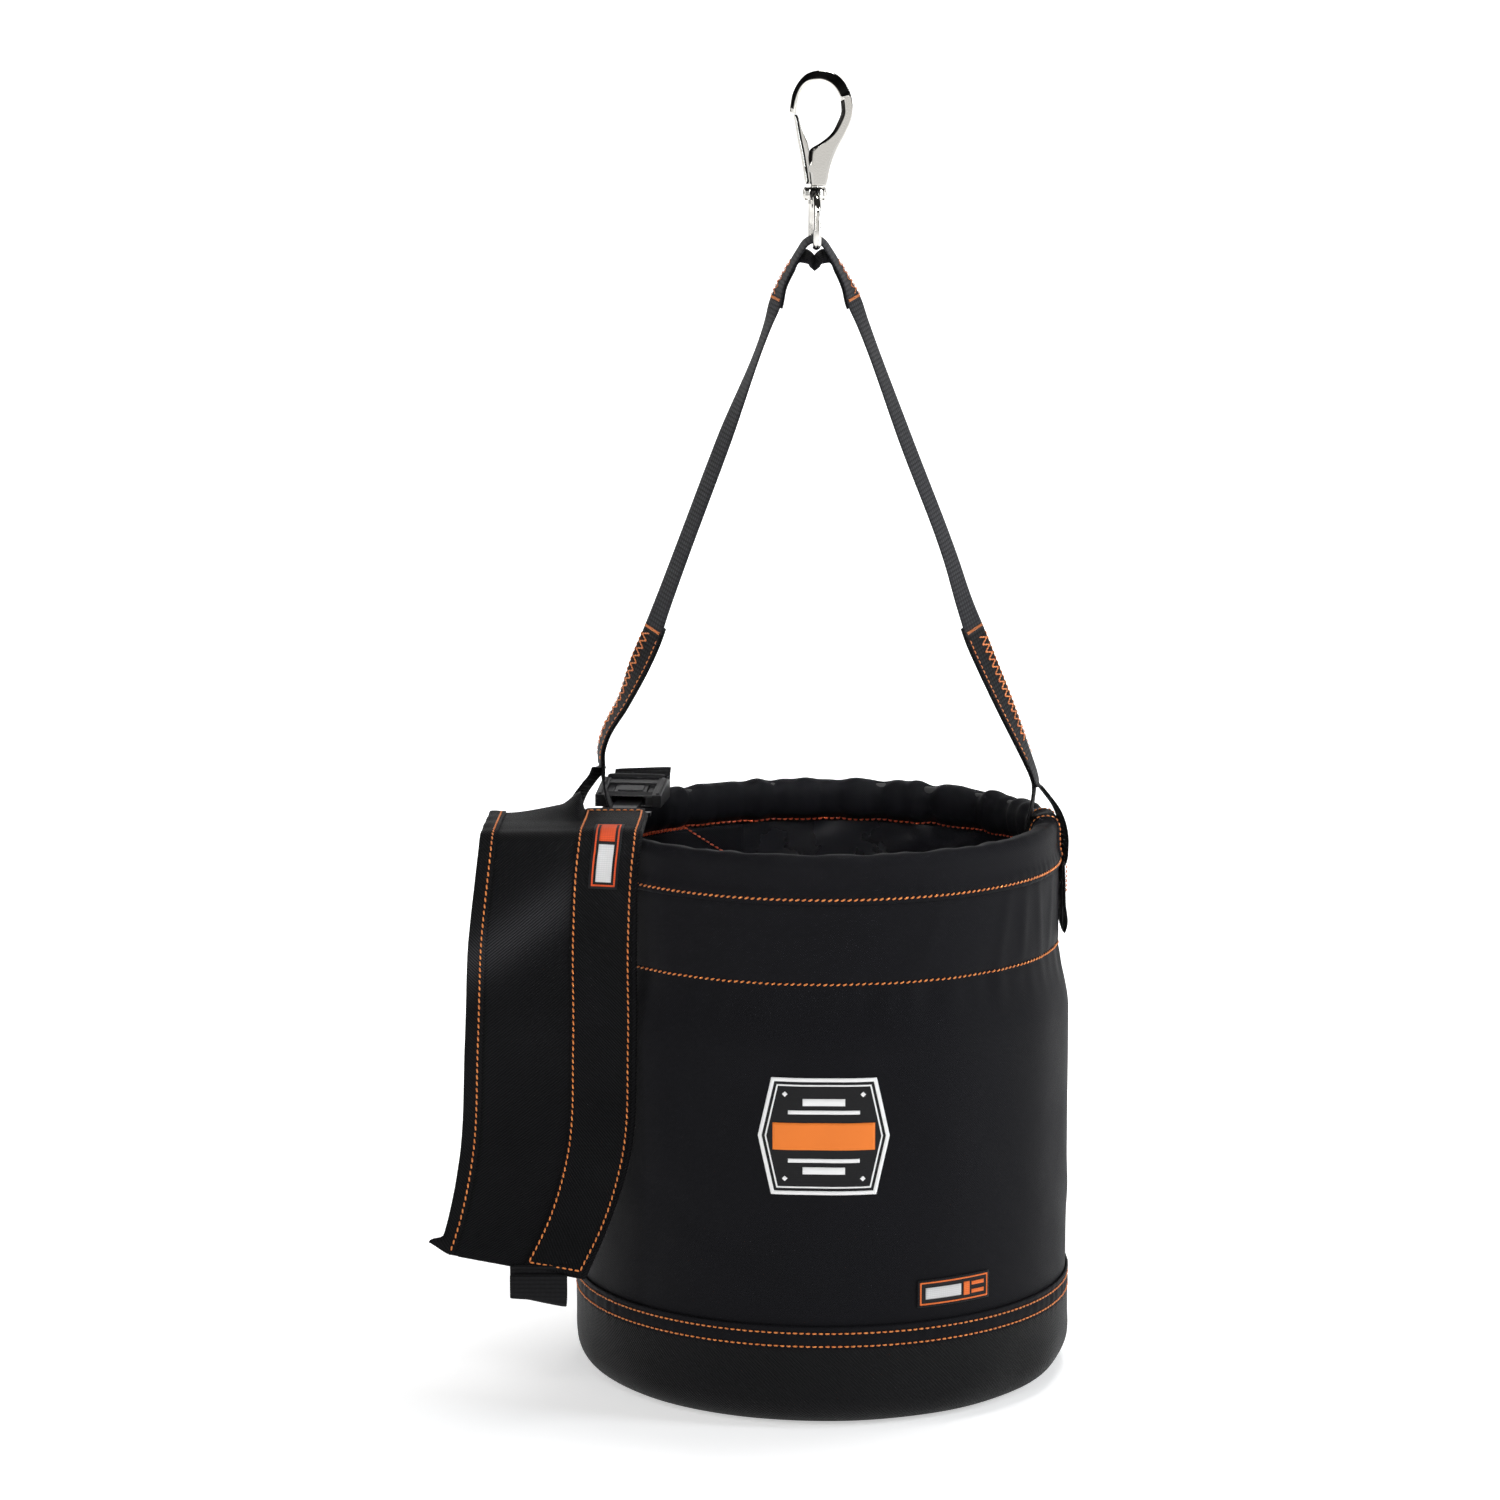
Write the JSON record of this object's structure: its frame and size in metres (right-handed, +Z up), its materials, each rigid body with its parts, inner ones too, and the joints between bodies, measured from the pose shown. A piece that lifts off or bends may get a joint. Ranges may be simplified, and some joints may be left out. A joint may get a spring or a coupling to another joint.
{
  "type": "hoist tool bucket",
  "caption": "Soft round hoist bucket with a stiff rim, webbing handle, swivel snap hook and a buckled strip cover hanging at its side.",
  "frame": {"origin": "centre of the round underside that the bucket stands on", "axes": "+Z up along the bucket's axis; +X towards the side of the rim with the hanging tab, the handle lies in the XZ plane; the cover hangs at -X, -Y"},
  "size_m": [0.4048, 0.3186, 0.8315],
  "materials": {
    "shell_fabric": "woven nylon, faint sheen",
    "boot_fabric": "coarse ballistic weave",
    "lining": "coated lining, slightly glossy",
    "hoop_plastic": "plain",
    "stiffener_plastic": "plain",
    "webbing": "ribbed webbing",
    "steel": "nickel plate",
    "spring_steel": "plain",
    "buckle_plastic": "satin moulding",
    "cover_fabric": "twill nylon, faint sheen",
    "badge": "printed badge",
    "label_fabric": "woven label"
  },
  "bodies": {
    "bucket": {"outer_wall": "shell_fabric", "inner_lining": "lining", "bottom_boot": "boot_fabric", "bottom_panel": "boot_fabric", "base_stiffener": "stiffener_plastic", "rim_hem": "shell_fabric", "rim_hoop": "hoop_plastic", "emblem_patch": "badge", "front_label": "label_fabric", "inner_patch": "lining", "rim_saddle_left": "shell_fabric", "rim_saddle_right": "shell_fabric", "rim_loop_left": "webbing", "rim_loop_right": "webbing", "buckle_body": "buckle_plastic", "buckle_anchor_webbing": "webbing", "buckle_webbing_tail": "webbing", "button_springs": "spring_steel"},
    "button": {"release_button": "buckle_plastic"},
    "cover_root": {"buckle_tongue": "buckle_plastic", "cover_top_panel": "cover_fabric", "cover_top_strip": "cover_fabric"},
    "cover_flap": {"cover_fold_roll": "cover_fabric", "cover_wing_left": "cover_fabric", "cover_wing_right": "cover_fabric", "cover_strip": "cover_fabric", "cover_label": "label_fabric"},
    "cover_end": {"cover_end_loop": "webbing"},
    "handle": {"handle_webbing": "webbing", "handle_doubler_left": "webbing", "handle_doubler_right": "webbing", "crown_keeper": "webbing"},
    "eye": {"swivel_eye": "steel"},
    "hook": {"hook_body": "steel", "swivel_stud": "steel", "gate_pin": "steel", "gate_spring": "spring_steel"},
    "gate": {"gate_lever": "steel"},
    "tab": {"anchor_tab": "webbing"}
  },
  "joints": [
    {"name": "button_press", "type": "slide", "parent": "bucket", "child": "button", "axis": [0, 0, -1], "range_m": [0, 0.0016], "stiffness_N_per_m": 1500, "springref_m": -0.001, "deforming": ["button_springs"]},
    {"name": "cover_release", "type": "slide", "parent": "bucket", "child": "cover_root", "axis": [-0.1219, -0.9925, 0], "range_m": [0, 0.034]},
    {"name": "cover_swing", "type": "hinge", "parent": "cover_root", "child": "cover_flap", "pos_m": [-0.165, -0.1015, 0.3636], "axis": [-1, 0, 0], "range_deg": [0, 80]},
    {"name": "end_fold", "type": "hinge", "parent": "cover_flap", "child": "cover_end", "pos_m": [-0.178, -0.1373, 0.0866], "axis": [-1, 0, 0], "range_deg": [-40, 70]},
    {"name": "handle_tilt", "type": "hinge", "parent": "bucket", "child": "handle", "pos_m": [0, 0, 0.388], "axis": [1, 0, 0], "range_deg": [-80, 80]},
    {"name": "eye_rock", "type": "hinge", "parent": "handle", "child": "eye", "pos_m": [-0.0062, 0, 0.7225], "axis": [-0.1219, 0.9925, 0], "range_deg": [-35, 35]},
    {"name": "hook_swivel", "type": "hinge", "parent": "eye", "child": "hook", "pos_m": [-0.0062, 0, 0.755], "axis": [0, 0, 1], "continuous": true},
    {"name": "gate_open", "type": "hinge", "parent": "hook", "child": "gate", "pos_m": [-0.008, 0, 0.7706], "axis": [0, 1, 0], "range_deg": [0, 16], "stiffness_Nm_per_rad": 0.05, "springref_deg": -17.19},
    {"name": "tab_swing", "type": "hinge", "parent": "bucket", "child": "tab", "pos_m": [0.1539, 0, 0.321], "axis": [0, -1, 0], "range_deg": [0, 85]}
  ]
}
